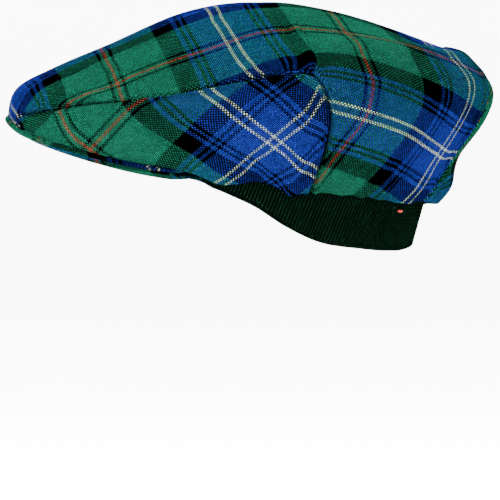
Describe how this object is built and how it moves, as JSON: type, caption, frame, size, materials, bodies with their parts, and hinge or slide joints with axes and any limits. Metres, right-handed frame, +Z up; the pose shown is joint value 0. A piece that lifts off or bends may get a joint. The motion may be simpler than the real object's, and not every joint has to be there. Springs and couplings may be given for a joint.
{
  "type": "flat cap",
  "caption": "Three-panel flat cap of tartan cloth with a covered peak and a ribbed knitted ear band folded down at the sides and back.",
  "frame": {"origin": "middle of the head opening, at the height where the crown's rim meets the sides of the head", "axes": "+Z up along the wearer's head, the peak towards -Y, the wearer's left +X"},
  "size_m": [0.2502, 0.2925, 0.1487],
  "materials": {
    "tartan": "woven wool tartan in green, blue and black with thin red and white lines",
    "knit": "ribbed dark green knit"
  },
  "bodies": {
    "root": {"top_panel": "tartan", "side_panel_left": "tartan", "side_panel_right": "tartan", "peak": "tartan", "ear_band": "knit"}
  },
  "joints": []
}
